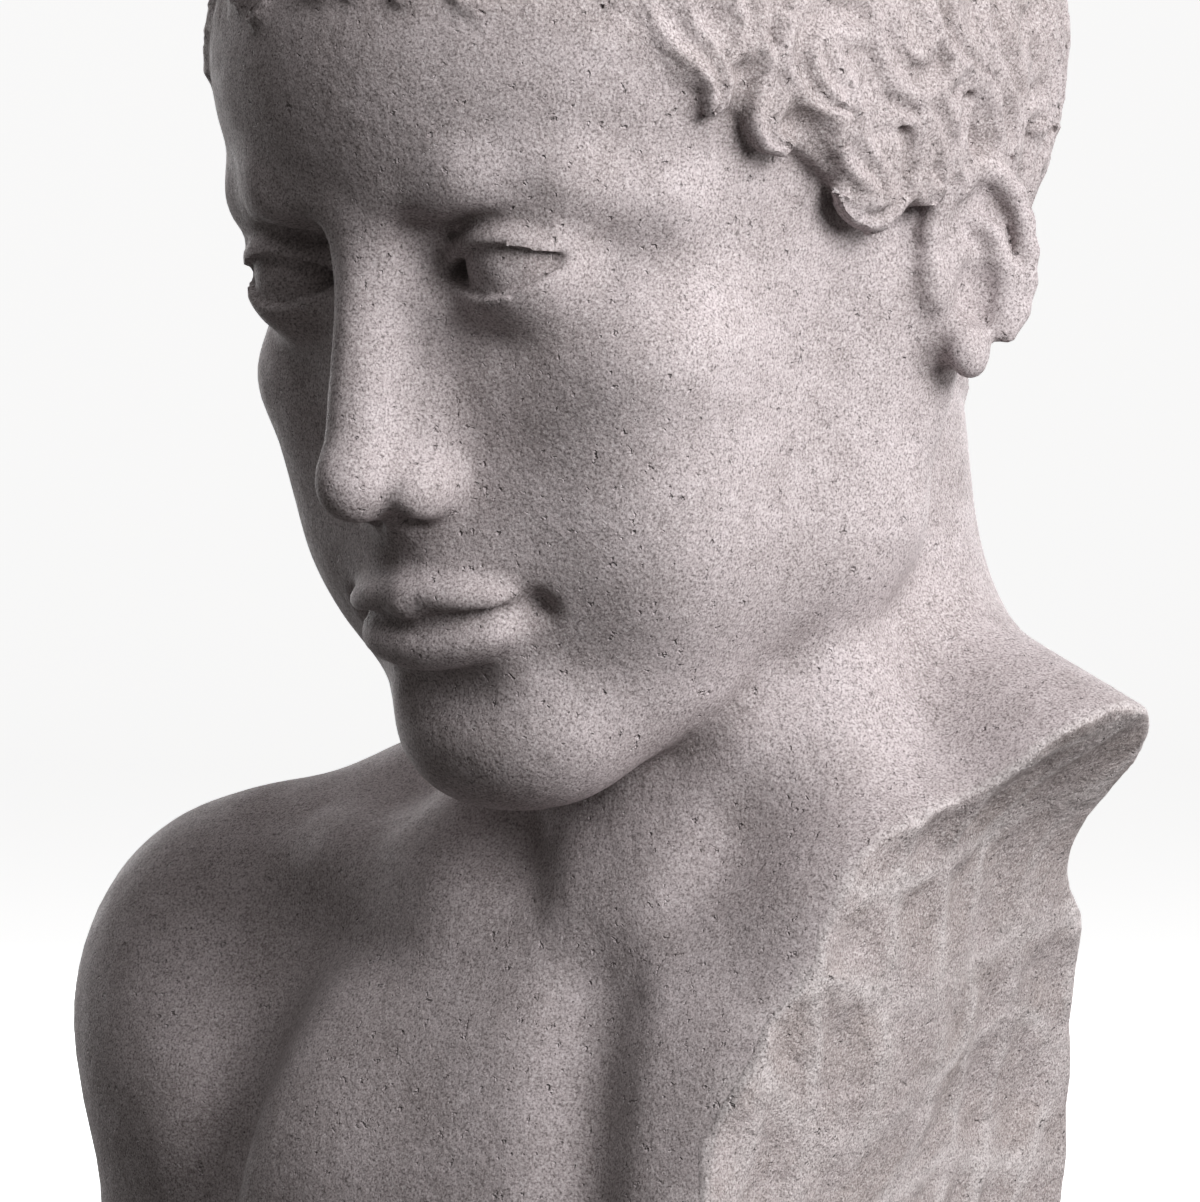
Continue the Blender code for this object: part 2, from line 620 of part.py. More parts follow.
def make_bust(material):
    corners, faces = make_block()
    corners = corners * UNIT + vec(0.0, 0.0, PIT_HEIGHT)
    mesh = bpy.data.meshes.new("block")
    mesh.from_pydata(corners.tolist(), [], faces.tolist())
    block = bpy.data.objects.new("block", mesh)
    bpy.context.collection.objects.link(block)
    carved = thin_skin(block)
    bpy.data.objects.remove(block)
    cut_base(carved)
    carved.name = "marble_bust"
    carved.shade_smooth()
    carved.set_sharp_from_angle(angle=math.radians(50))
    carved.materials.clear()
    carved.materials.append(material)
    bust = bpy.data.objects.new("marble_bust", carved)
    bpy.context.collection.objects.link(bust)
    return bust


def make_marble():
    material = bpy.data.materials.new("marble")
    material.use_nodes = True
    shader = material.node_tree.nodes["Principled BSDF"]
    shader.inputs["Base Color"].default_value = (0.46, 0.42, 0.42, 1.0)
    shader.inputs["Roughness"].default_value = 0.72
    shader.inputs["Metallic"].default_value = 0.0
    return material


for leftover in list(bpy.data.objects):
    bpy.data.objects.remove(leftover, do_unlink=True)
make_bust(make_marble())
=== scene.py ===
# A carved marble bust: a young head, bowed and turned to its right, on a chest whose left shoulder
# has broken away. The carving is a distance field that is built up and cut back. A fine skin is
# laid over it, Geometry Nodes wear the skin down, and the material weathers the stone and paints shade into
# its hollows.
import math
import bmesh
import bpy
import numpy as np
from concurrent.futures import ThreadPoolExecutor
from mathutils import Matrix, Vector


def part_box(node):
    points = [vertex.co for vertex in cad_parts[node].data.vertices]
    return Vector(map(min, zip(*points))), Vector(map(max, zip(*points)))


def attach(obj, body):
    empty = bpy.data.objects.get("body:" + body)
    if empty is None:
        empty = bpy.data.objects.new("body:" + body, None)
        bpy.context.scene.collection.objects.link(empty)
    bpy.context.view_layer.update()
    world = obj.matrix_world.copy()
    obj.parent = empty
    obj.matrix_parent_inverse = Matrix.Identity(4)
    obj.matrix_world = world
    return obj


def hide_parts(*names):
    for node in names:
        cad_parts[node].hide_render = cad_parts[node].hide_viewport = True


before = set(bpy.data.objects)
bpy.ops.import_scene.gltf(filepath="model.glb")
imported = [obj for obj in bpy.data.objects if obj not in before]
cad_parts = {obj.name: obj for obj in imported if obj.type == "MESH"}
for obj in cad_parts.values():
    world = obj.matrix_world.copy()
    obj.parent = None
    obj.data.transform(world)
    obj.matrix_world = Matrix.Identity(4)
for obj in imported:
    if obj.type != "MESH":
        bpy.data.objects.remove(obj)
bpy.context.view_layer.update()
print("frame loaded")

# Sizes of the whole bust, in metres and degrees, as the solid has them
bust = {
    "headHeight": 0.235,     # chin to crown, hair included
    "pitHeight": 0.082,      # pit of the neck above the flat cut
    "shoulderReach": 0.181,  # middle of the neck to the outside of the arm
    "headTurn": 4.0,         # towards the figure's right
    "headNod": 15.0,
}
headChart = 235.0            # the head is drawn this high, and stands 1.1 times larger on the chest
headScale = 1.1
unit = bust["headHeight"] / (headChart * headScale)
skullCentre = np.array((0.0, 0.0, 146.0))
skullRadii = np.array((78.0, 99.0, 85.0))
earPlace = (72.0, 8.0, 93.0)


def vec(*values):
    return np.array(values, dtype=float)


def length(vectors):
    return np.sqrt(np.einsum("ij,ij->i", vectors, vectors))


def turnMatrix(pitch, roll, yaw):
    turns = Matrix.Identity(3)
    for angle, axis in ((pitch, "X"), (roll, "Y"), (yaw, "Z")):
        turns = Matrix.Rotation(math.radians(angle), 3, axis) @ turns
    return np.array(turns)


class Clay:
    # A lump that is built up and cut back: the distance to its surface at a set of points

    def __init__(self, points, block=1):
        self.points = points
        self.field = np.full(len(points), 60.0)
        # The points come in blocks of neighbours, so that a shape skips the blocks it can't reach
        groups = points.reshape(-1, block, 3)
        self.middles = groups.mean(axis=1)
        self.blockReach = length(groups[0] - self.middles[0]).max() + 0.1
        self.within = np.arange(block)
        self.middle = self.middles.mean(axis=0)
        self.girth = length(self.middles - self.middle).max() + self.blockReach

    def near(self, centre, reach):
        if np.linalg.norm(self.middle - centre) > reach + self.girth:
            return np.zeros(0, int)
        offset = self.middles - centre
        close = np.flatnonzero(length(offset) < reach + self.blockReach)
        return (close[:, None] * len(self.within) + self.within).ravel()

    def nearPath(self, path, reach):
        centre = path.mean(axis=0)
        if np.linalg.norm(self.middle - centre) > reach + self.girth + length(path - centre).max():
            return np.zeros(0, int)
        gaps = np.min([length(self.middles - point) for point in path[::2]], axis=0)
        close = np.flatnonzero(gaps < reach + self.blockReach)
        return (close[:, None] * len(self.within) + self.within).ravel()

    def merge(self, index, shape, soft, carve):
        sign = -1.0 if carve else 1.0
        here = self.field[index] * sign
        mix = np.clip(0.5 + 0.5 * (here - shape) / soft, 0.0, 1.0)
        self.field[index] = sign * (here + (shape - here) * mix - soft * mix * (1.0 - mix))

    def ball(self, centre, radii, soft, carve=False, turn=(0, 0, 0)):
        centre = np.asarray(centre, float)
        radii = np.asarray(radii, float)
        index = self.near(centre, radii.max() + soft + 12.0)
        if len(index) == 0:
            return
        local = (self.points[index] - centre) @ turnMatrix(*turn)
        ratio = length(local / radii)
        slope = length(local / radii ** 2) + 1e-9
        self.merge(index, ratio * (ratio - 1.0) / slope, soft, carve)

    def limb(self, start, end, startRadius, endRadius, soft, carve=False):
        start = np.asarray(start, float)
        end = np.asarray(end, float)
        run = end - start
        reach = np.linalg.norm(run) / 2 + max(startRadius, endRadius) + soft + 12.0
        index = self.near((start + end) / 2, reach)
        if len(index) == 0:
            return
        local = self.points[index] - start
        along = np.clip(local @ run / (run @ run), 0.0, 1.0)
        shape = length(local - along[:, None] * run)
        shape -= startRadius + (endRadius - startRadius) * along
        self.merge(index, shape, soft, carve)

    def chain(self, points, radii, soft, carve=False):
        for place in range(len(points) - 1):
            self.limb(points[place], points[place + 1], radii[place], radii[place + 1], soft, carve)

    def lock(self, path, outward, lifts, widths, heights, style):
        # A ribbon of hair along a path, hollowed along its middle, with a drilled channel round it
        index = self.nearPath(path, widths.max() + 6.0)
        if len(index) == 0:
            return
        points = self.points[index]
        best = np.full(len(index), 1e9)
        across = np.zeros(len(index))
        rise = np.zeros(len(index))
        over = np.zeros(len(index))
        share = np.zeros(len(index))
        steps = len(path) - 1
        for place in range(steps):
            run = path[place + 1] - path[place]
            span = np.linalg.norm(run)
            ahead = run / span
            up = outward[place] - ahead * (outward[place] @ ahead)
            up /= np.linalg.norm(up)
            side = np.cross(up, ahead)
            local = points - path[place]
            along = np.clip(local @ ahead / span, 0.0, 1.0)
            gap = local - along[:, None] * run
            away = np.einsum("ij,ij->i", gap, gap)
            closer = away < best
            best[closer] = away[closer]
            gap = gap[closer]
            across[closer] = gap @ side
            rise[closer] = gap @ up
            over[closer] = gap @ ahead
            share[closer] = (place + along[closer]) / steps
        ticks = np.linspace(0.0, 1.0, len(path))
        wide = np.interp(share, ticks, widths)
        high = np.interp(share, ticks, heights)
        lift = np.interp(share, ticks, lifts)
        across /= wide
        ratio = np.sqrt(across ** 2 + (rise / high) ** 2 + (over / wide) ** 2)
        shape = (ratio - 1.0) * np.minimum(wide, high)
        if style["channel"]:
            channel = shape - style["channel"] * np.clip(3.0 * share - 0.6, 0.0, 1.0)
            channel = np.maximum(channel, -(rise + lift) - style["drill"])
            self.merge(index, channel, 1.2, True)
        score = 0.5 + 0.5 * np.cos(2.0 * math.pi * style["strands"] * (across + style["bias"]) / 2.0)
        shallow = np.minimum(high / 5.0, 1.0)
        shape += style["groove"] * score * np.clip(1.15 - across ** 2, 0.0, 1.0) * shallow
        self.merge(index, shape, style["soft"], False)


# Hair: rows of broad, sinuous locks that fall away from the whorl at the crown
hairStyle = {
    "lockLength": 60.0,      # at most: locks near the hairline are shortened
    "lockWidth": 22.5,
    "relief": 6.8,           # height of a lock over the skull
    "sway": 6.2,             # how far a lock swings to each side
    "tipCurl": 3.4,
    "seed": 11,
    # Each row's angle from the whorl, and how many locks would go all round it
    "rows": (
        (9, 7), (23, 15), (37, 22), (51, 27), (65, 30), (79, 31),
        (93, 31), (107, 29), (121, 26), (135, 20), (149, 15),
    ),
}
combed = {
    "soft": 2.4,             # how softly a lock joins the next
    "strands": 2.0,
    "bias": 1.0,             # where the strands lie across the lock
    "groove": 2.4,           # depth between the strands
    "channel": 0.35,         # width of the gap cut round a lock
    "drill": 0.2,            # depth of that gap below the skull
}


def hairZone(points):
    # How far inside the hairline a point is: behind the temples, above the ears and the nape
    y = points[..., 1]
    z = points[..., 2]
    temple = 0.67 * (y + 92.0) + 0.742 * (z - 178.0)
    ear = z - 111.0
    nape = np.minimum(0.92 * (y - 14.0) + 0.39 * (z - 80.0), z - 62.0)
    inside = np.minimum(temple, np.maximum(ear, nape))
    gap = np.stack((np.abs(points[..., 0]) - earPlace[0], y - earPlace[1], z - earPlace[2]), axis=-1)
    return np.minimum(inside, np.sqrt((gap ** 2).sum(axis=-1)) - 23.0)


def onSkull(point):
    # The foot of a point on the head, and the outward direction there: the skull above the ears,
    # and below them level rings that narrow to the neck
    if point[2] > 105.0:
        ray = point - skullCentre
        foot = skullCentre + ray / np.linalg.norm(ray / skullRadii)
        outward = (foot - skullCentre) / skullRadii ** 2
    else:
        drop = (point[2] - skullCentre[2]) / skullRadii[2]
        ring = math.sqrt(max(1.0 - drop ** 2, 0.34))
        foot = point * ring / math.hypot(point[0] / skullRadii[0], point[1] / skullRadii[1])
        foot[2] = point[2]
        outward = foot / skullRadii ** 2
        outward[2] = drop / skullRadii[2] if ring > 0.59 else 0.0
    return foot, outward / np.linalg.norm(outward)


def skullPlace(azimuth, height):
    # Azimuth from the face towards the figure's left, height above the skull's middle, degrees
    azimuth = math.radians(azimuth)
    height = math.radians(height)
    ray = vec(math.sin(azimuth) * math.cos(height), -math.cos(azimuth) * math.cos(height), math.sin(height))
    return onSkull(skullCentre + ray * 90.0)[0]


def lockPath(root, heading, span, sway, curl):
    # The middle line of a lock on the skull: it swings to one side and back, and curls at its tip
    steps = 15
    point, outward = onSkull(root)
    feet = []
    normals = []
    for place in range(steps):
        share = place / (steps - 1)
        feet.append(point)
        normals.append(outward)
        swing = sway * math.cos(2.0 * math.pi * share) + 3.0 * curl * share ** 2
        heading = heading - outward * (heading @ outward)
        heading /= np.linalg.norm(heading)
        aside = np.cross(outward, heading)
        angle = swing / (steps - 1)
        heading = heading * math.cos(angle) + aside * math.sin(angle)
        point, outward = onSkull(point + heading * span / (steps - 1))
    return np.array(feet), np.array(normals)


def combLock(root, heading, size, sway, curl, rise=1.0, trim=True):
    # One lock, shortened until its tip stays close to the hairline
    span = size * hairStyle["lockLength"]
    feet, normals = lockPath(root, heading, span, sway, curl)
    while trim and hairZone(feet[-1]) < -4.0 and span > 26.0:
        span *= 0.88
        feet, normals = lockPath(root, heading, span, sway, curl)
    if trim and hairZone(feet[-1]) < -4.0:
        return []
    shares = np.linspace(0.0, 1.0, len(feet))
    body = np.minimum(1.0, 0.5 + 1.6 * shares) * np.clip(1.02 - shares ** 1.9, 0.0, 1.0) ** 0.8
    whole = min(1.15, size) * (span / size / hairStyle["lockLength"]) ** 0.6
    widths = 0.5 * hairStyle["lockWidth"] * whole * body + 0.7
    heights = hairStyle["relief"] * (0.35 + 0.5 * body)
    lifts = (-1.0 + 5.8 * shares) * rise
    return [(feet + normals * lifts[:, None], normals, lifts, widths, heights, combed)]


def combRows():
    # The outer rows come first, so that the tips of each row lie over the roots of the next
    locks = []
    dice = np.random.default_rng(hairStyle["seed"])
    outward = onSkull(skullPlace(180.0, 58.0))[1]
    first = np.cross(outward, vec(1.0, 0.0, 0.0))
    first /= np.linalg.norm(first)
    second = np.cross(outward, first)
    for row, (angle, count) in reversed(list(enumerate(hairStyle["rows"]))):
        for place in range(count):
            drift, slant, scale = dice.uniform(-1.0, 1.0, 3)
            roundAngle = 2.0 * math.pi * (place + 0.5 * (row % 2) + 0.12 * drift) / count
            ray = first * math.cos(roundAngle) + second * math.sin(roundAngle)
            tilt = math.radians(angle + 2.5 * drift)
            root = onSkull(skullCentre + (outward * math.cos(tilt) + ray * math.sin(tilt)) * 90.0)[0]
            if hairZone(root) < 4.0:
                continue
            heading = ray * math.cos(tilt) - outward * math.sin(tilt)
            heading += 0.35 * slant * np.cross(outward, ray)
            heading[1] += 0.7 * min(max((abs(root[0]) - 25.0) / 25.0, 0.0), 1.0)
            side = 1.0 if (place + row) % 2 else -1.0
            sway = side * hairStyle["sway"]
            size = (0.95 + 0.14 * scale) * min(1.0, 0.62 + 0.10 * row)
            rise = min(1.0, 0.4 + 0.2 * row)
            locks += combLock(root, heading, size, sway, side * hairStyle["tipCurl"] * 0.42, rise)
    return locks


# Locks listed for each side: azimuth and height of the root, heading (sideways, down), size,
# swing to and fro, curl of the tip
sideLocks = (
    ((74.0, 13.0), (-1.0, 0.2), 0.80, 3.0, 3.4),
    ((84.0, 3.0), (-1.0, 0.4), 0.90, -4.6, 2.6),
    ((81.0, -8.0), (-0.5, 1.0), 0.66, 3.4, -2.2),
    ((62.0, 24.0), (-1.0, 0.4), 0.86, -4.2, 2.8),
    ((98.0, 12.0), (-1.0, 0.3), 1.00, 5.6, -2.4),
    ((112.0, 6.0), (-0.8, 0.7), 0.90, -5.6, 2.0),
)


def combSides():
    locks = []
    for side in (-1, 1):
        for (azimuth, height), (aside, down), size, sway, curl in sideLocks:
            root, outward = onSkull(skullPlace(side * azimuth, height))
            level = np.cross(vec(0.0, 0.0, 1.0), outward)
            level /= np.linalg.norm(level)
            heading = level * side * aside - np.cross(outward, level) * down
            locks += combLock(root, heading, size, side * sway, side * curl, 0.9, False)
    return locks


hairLocks = combRows() + combSides()


def modelHair(clay):
    index = clay.near(skullCentre, 135.0)
    if len(index) == 0:
        return
    local = clay.points[index] - skullCentre
    radii = skullRadii + 2.0
    ratio = length(local / radii)
    cap = ratio * (ratio - 1.0) / (length(local / radii ** 2) + 1e-9)
    cap = np.maximum(cap, -hairZone(clay.points[index]))
    clay.merge(index, cap, 2.0, False)
    clay.ball((0, 6, 86), (49, 56, 56), 8)
    for lock in hairLocks:
        clay.lock(*lock)


def softMax(first, second, soft):
    mix = np.clip(0.5 + 0.5 * (first - second) / soft, 0.0, 1.0)
    return second + (first - second) * mix + soft * mix * (1.0 - mix)


def modelEye(clay, side):
    # The lids as one bulge, an almond opening cut down to the eyeball, and the fold over the lid
    centre = vec(side * 31.0, -80.5, 117.0)
    clay.ball(centre, (15.6, 15.6, 15.6), 5)
    index = clay.near(centre, 26.0)
    if len(index):
        local = clay.points[index] - centre
        share = local[:, 0] * side / 15.5
        upper = 6.0 * (1.0 - share ** 2) + 0.6 * share
        lower = -5.0 * (1.0 - share ** 2) + 0.6 * share
        almond = softMax(softMax(local[:, 2] - upper, lower - local[:, 2], 1.0), local[:, 1] + 4.0, 1.0)
        clay.merge(index, softMax(almond, 13.0 - length(local), 0.8), 1.1, True)
    fold = []
    for step in range(9):
        turn = math.radians(-58.0 + 14.5 * step)
        up = math.radians(42.0 - 15.0 * ((step - 4.2) / 4.2) ** 2)
        ray = vec(side * math.sin(turn) * math.cos(up), -math.cos(turn) * math.cos(up), math.sin(up))
        fold.append(centre + ray * 16.6)
    clay.chain(fold, [1.0] * len(fold), 1.8, carve=True)


def modelEar(clay, side):
    middle = vec(side * earPlace[0], earPlace[1], earPlace[2])
    lean = math.radians(14.0)
    size = 0.78

    def place(back, up, out):
        along = (back * math.cos(lean) + up * math.sin(lean)) * size
        rise = (up * math.cos(lean) - back * math.sin(lean)) * size
        return middle + vec(side * (out + 0.30 * (back + 12.0)) * size, along, rise)

    def radii(*values):
        return [value * size for value in values]

    clay.ball(place(0, 0, -4), radii(9, 15, 26), 7, turn=(-14, 0, side * -17))
    angles = [math.radians(205.0 - 20.0 * step) for step in range(14)]
    rim = [place(15.5 * math.cos(angle), 3.0 + 25.0 * math.sin(angle), 2.5) for angle in angles]
    clay.chain(rim, radii(*[3.2 + 0.5 * math.sin(angle) for angle in angles]), 1.6)
    clay.ball(place(-1, -8, 5), radii(7, 8.5, 12), 2.5, carve=True, turn=(-14, 0, 0))
    clay.ball(place(0, 12, 4.5), radii(4.5, 9, 9), 2.5, carve=True, turn=(-14, 0, 0))
    fold = [place(7, -16, 1), place(10, -2, 2), place(5, 10, 1.5), place(-3, 16, 0)]
    clay.chain(fold, radii(2.8, 3.2, 2.8, 2.2), 2.0)
    clay.ball(place(-2, -22, 1), radii(4.8, 7, 8), 3)
    clay.ball(place(-13, -5, 1), radii(4.2, 4.8, 7), 2.5)


def modelHead(points, block):
    clay = Clay(points, block)
    # Skull, forehead and face
    clay.ball(skullCentre, skullRadii - vec(2, 1, 2), 1)
    clay.ball((0, -44, 158), (65, 53, 52), 18)
    clay.ball((0, -35, 96), (62, 60, 80), 14)
    clay.ball((0, -74, 50), (30, 27, 30), 14)
    # Chin, jaw and the floor of the mouth
    clay.ball((0, -79, 15), (20, 18, 15), 10)
    clay.ball((0, -45, 22), (38, 42, 17), 12)
    for side in (-1, 1):
        clay.limb((side * 12, -73, 18), (side * 43, -24, 42), 15, 14, 18)
        clay.limb((side * 43, -24, 42), (side * 57, -2, 88), 14, 12, 22)
        clay.ball((side * 44, -64, 92), (18, 18, 13), 16)
        clay.ball((side * 34, -62, 60), (22, 23, 30), 20)
        brow = [(side * 9, -89, 131), (side * 26, -88, 136)]
        brow += [(side * 43, -78.5, 133), (side * 55, -62, 124)]
        clay.chain(brow, (4.5, 4.5, 4.0, 3.5), 12)
        clay.ball((side * 31, -97, 119), (18.5, 13, 10.5), 5, carve=True)
        clay.ball((side * 15, -98, 122), (6, 8, 8), 6, carve=True)
    # Nose
    clay.limb((0, -84, 122), (0, -97, 77), 9, 12.5, 9)
    clay.limb((0, -92.5, 128), (0, -109, 82), 6.5, 7.5, 6)
    clay.ball((0, -111, 77), (8.2, 9.2, 8.0), 5)
    for side in (-1, 1):
        clay.ball((side * 10.6, -101.5, 73.5), (5.4, 9.2, 6.4), 3.5)
        clay.ball((side * 5.6, -106, 67.2), (3.2, 6.0, 2.8), 2, carve=True)
        modelEye(clay, side)
    # Mouth
    clay.ball((0, -101, 28.5), (17, 6, 4.5), 8, carve=True)
    clay.limb((0, -106, 64), (0, -107, 54), 1.5, 2.0, 4, carve=True)
    for side in (-1, 1):
        clay.ball((side * 9, -97.5, 50.0), (14, 7.2, 4.6), 3, turn=(0, side * 8, side * 16))
        clay.ball((side * 7, -97.0, 39.8), (14, 7.6, 5.4), 4, turn=(0, side * -6, side * 14))
    clay.ball((0, -100.5, 49), (5, 6, 4), 3)
    slit = [(x, -104.2 + 0.021 * x * x, 45.4 - 0.8 * math.cos(x / 5.0)) for x in range(-24, 25, 4)]
    clay.chain(slit, [1.0] * len(slit), 1.4, carve=True)
    for side in (-1, 1):
        clay.ball((side * 25.0, -90.5, 45), (2.0, 3.4, 2.4), 5, carve=True)
    modelHair(clay)
    for side in (-1, 1):
        modelEar(clay, side)
    return clay


def toHead(points):
    # From the chest's frame to the head's: chin level, the ears' axis, face to -Y
    seat = vec(-7.5, 63.5, 56.7)
    turns = Matrix.Rotation(math.radians(-bust["headTurn"]), 3, "Z")
    turns = turns @ Matrix.Rotation(math.radians(bust["headNod"]), 3, "X")
    return (points - seat) @ np.array(turns) / headScale


def modelNeck(clay):
    clay.limb((0, 62, 4), (0, 52, 130), 52, 47, 18)
    clay.limb((0, 78, 46), (0, 60, 140), 40, 38, 22)
    for side in (-1, 1):
        # The muscle from behind the ear to the breastbone, and its outer head on the collarbone
        cord = [(side * 56, 46, 150), (side * 46, 34, 100), (side * 27, 16, 48), (side * 9, 4, 6)]
        clay.chain(cord, (12, 12, 10, 6), 12)
        clay.limb((side * 42, 32, 62), (side * 34, 16, 10), 8, 6, 14)
        # Over the collarbone, between neck and shoulder
        clay.limb((side * 44, 32, 38), (side * 66, 22, 14), 13, 11, 24)
    # Windpipe, down to the pit between the collarbones
    clay.limb((0, 11, 3), (0, 16, 62), 10, 14, 18)


def modelChest(clay):
    arm = bust["shoulderReach"] / unit - 47.0
    clay.ball((0, 58, -90), (130, 86, 122), 1)
    clay.ball((0, 66, -60), (140, 60, 88), 30)
    for side in (-1, 1):
        # Slope of the shoulder, cap of the shoulder and arm
        lift = 8.0 if side > 0 else 0.0
        clay.limb((side * 24, 78, 56), (side * arm, 54, -8 + lift), 30, 31, 30)
        clay.limb((side * 40, 40, 4), (side * arm, 46, -10), 26, 30, 26)
        clay.ball((side * arm, 50, -26), (47, 48, 50), 22)
        clay.limb((side * arm, 50, -34), (side * (arm + 2), 50, -170), 43, 41, 16)
        # Breast and its outer end under the arm
        clay.ball((side * 68, 10, -76), (70, 30, 56), 32, turn=(0, side * 12, side * -8))
        clay.limb((side * 76, 12, -54), (side * (arm - 10), 26, -44), 25, 24, 24)
        # Collarbone
        collar = [(side * 18, 8, -2), (side * 52, 9, 5), (side * 98, 22, 12), (side * 140, 38, 16)]
        clay.chain(collar, (8, 7, 7, 8), 18)
        clay.limb((side * 26, 14, -26), (side * 96, 20, -26), 19, 19, 26)
        clay.limb((side * 18, 15, 4), (side * 50, 20, 12), 9, 11, 16)
        # Groove between shoulder and breast
        clay.limb((side * 104, -6, -2), (side * 122, -12, -76), 3, 5, 28, carve=True)
        # Shoulder blade
        clay.ball((side * 74, 112, -50), (48, 20, 60), 20, turn=(0, side * 10, 0))
    clay.limb((3, -19, -14), (15, -42, -150), 1.0, 2.5, 22, carve=True)
    clay.limb((0, 138, 10), (0, 150, -150), 4, 6, 22, carve=True)


# The broken side: a wavy, nearly upright face that leans out above the collarbone to its top corner
breakFace = {
    "reach": 60.0,           # at the height of the pit
    "lean": 0.24,            # outwards with the height
    "flare": 1.25,           # and how much more towards the corner
    "flareFoot": 26.0,
    "flareTop": 56.0,
    "flareSoft": 6.0,
    "turn": 0.03,            # and inwards from front to back
    "turnIn": 0.12,          # more so towards the back
    "edge": 2.2,
}


def breakScoops(y, z):
    # Shallow scoops, 1 at their middles and 0 on the ridges between them
    bendY = y + 9.0 * np.sin(z / 21.0 + 0.4) + 4.0 * np.sin(y / 13.0 + z / 19.0 + 2.0)
    bendZ = z + 9.0 * np.sin(y / 24.0 + 0.6) + 4.0 * np.sin(z / 12.0 - y / 17.0)
    return np.abs(np.sin(bendY / 7.5) * np.sin(bendZ / 9.0 + 0.6))


def breakDepth(points):
    y = points[:, 1]
    z = points[:, 2]
    top = np.minimum(z, breakFace["flareTop"] + 8.0)
    above = (top - breakFace["flareFoot"]) / breakFace["flareSoft"]
    lean = breakFace["lean"] * top + breakFace["flare"] * breakFace["flareSoft"] * np.logaddexp(0.0, above)
    reach = breakFace["reach"] + lean - breakFace["turn"] * (y - 40.0)
    reach -= breakFace["turnIn"] * np.maximum(y - 40.0, 0.0)
    bendY = y + 14.0 * np.sin(z / 33.0 + 0.4) + 7.0 * np.sin(y / 17.0 + z / 29.0 + 2.0)
    bendZ = z + 13.0 * np.sin(y / 37.0 + 0.6) + 6.0 * np.sin(z / 16.0 - y / 23.0)
    waves = 1.7 * np.sin(bendY / 19.0 + 0.5) + 1.6 * np.sin(bendZ / 17.0 + 1.0)
    waves -= (1.6 + 1.3 * np.sin(y / 19.0 - z / 27.0 + 1.0)) * breakScoops(y, z)
    waves += 0.5 * np.sin(bendY / 4.3 + 1.0) * np.sin(bendZ / 3.9)
    steep = breakFace["lean"] + breakFace["flare"] * np.exp(-np.logaddexp(0.0, -above))
    slope = np.sqrt(1.9 + steep ** 2)
    return (points[:, 0] - reach - waves) / slope


def modelBust(points, block=1):
    clay = Clay(points, block)
    modelChest(clay)
    modelNeck(clay)
    everywhere = np.arange(len(points))
    clay.merge(everywhere, -breakDepth(points), breakFace["edge"], True)
    clay.merge(everywhere, modelHead(toHead(points), block).field * headScale, 5.0, False)
    return clay.field


def sampleField(low, counts, step):
    # The field on a grid. Blocks of the grid that lie well off the surface keep the value at their
    # middle. The points of the other blocks are worked out, one brick of blocks at a time.
    size = 5
    brick = 8
    blocks = counts // size
    spots = np.stack(np.meshgrid(*[np.arange(count) for count in blocks], indexing="ij"), axis=-1)
    spots = spots.reshape(-1, 3)
    names = (spots // brick) @ np.array((10000, 100, 1))
    order = np.argsort(names, kind="stable")
    cuts = np.flatnonzero(np.diff(names[order])) + 1
    middles = np.empty(len(spots))
    inner = np.stack(np.meshgrid(*[np.arange(size)] * 3, indexing="ij"), axis=-1).reshape(-1, 3)
    field = np.empty((len(spots), size ** 3), np.float32)

    def fillBrick(members):
        middles[members] = modelBust(low + (spots[members] * size + (size - 1) / 2) * step)
        field[members] = middles[members][:, None]
        close = members[np.abs(middles[members]) < size * step + 4.0]
        if len(close):
            points = (spots[close][:, None, :] * size + inner[None, :, :]).reshape(-1, 3)
            field[close] = modelBust(low + points * step, size ** 3).reshape(len(close), -1)

    with ThreadPoolExecutor(4) as pool:
        list(pool.map(fillBrick, np.split(order, cuts)))
    field = field.reshape(tuple(blocks) + (size, size, size))
    return field.transpose(0, 3, 1, 4, 2, 5).reshape(blocks * size)


def laySkin(field, low, step):
    # Surface nets: one corner in each grid cell that the surface crosses, and one quad round each
    # grid edge that it crosses
    strides = np.array((field.shape[1] * field.shape[2], field.shape[2], 1))
    inside = field < 0.0
    rings = []
    crossings = []
    for axis in range(3):
        here = [slice(1, -1)] * 3
        there = [slice(1, -1)] * 3
        here[axis] = slice(0, -1)
        there[axis] = slice(1, None)
        spots = np.argwhere(inside[tuple(here)] != inside[tuple(there)])
        spots += np.array([0 if other == axis else 1 for other in range(3)])
        ends = spots + np.eye(3, dtype=int)[axis]
        first = field[tuple(spots.T)]
        second = field[tuple(ends.T)]
        places = spots @ strides
        before, after = [strides[other] for other in ((axis + 1) % 3, (axis + 2) % 3)]
        ring = np.stack((places, places - before, places - before - after, places - after), axis=1)
        inward = first >= 0.0
        ring[inward] = ring[inward][:, ::-1]
        spots = spots.astype(float)
        spots[:, axis] += first / (first - second)
        rings.append(ring)
        crossings.append(np.repeat(spots, 4, axis=0))
    rings = np.concatenate(rings)
    crossings = np.concatenate(crossings)
    names, index = np.unique(rings.ravel(), return_inverse=True)
    number = np.bincount(index)
    corners = np.stack([np.bincount(index, crossings[:, axis]) / number for axis in range(3)], axis=1)
    return low + corners * step, index.reshape(-1, 4)


# The fine skin of the bust, in units
skinStyle = {
    "step": 1.05,            # grid spacing
    "triangles": 192000,
    "smooth": 3,             # rounds of smoothing
    "margin": 12.0,          # of the grid beyond the arm and the flat cut
    "front": -95.0,
    "left": 118.0,
    "back": 175.0,
    "top": 330.0,
    "plainTop": 100.0,       # below this the triangles grow, down to the height of plainBase
    "plainBase": -10.0,
    "leastPlain": 0.2,
}


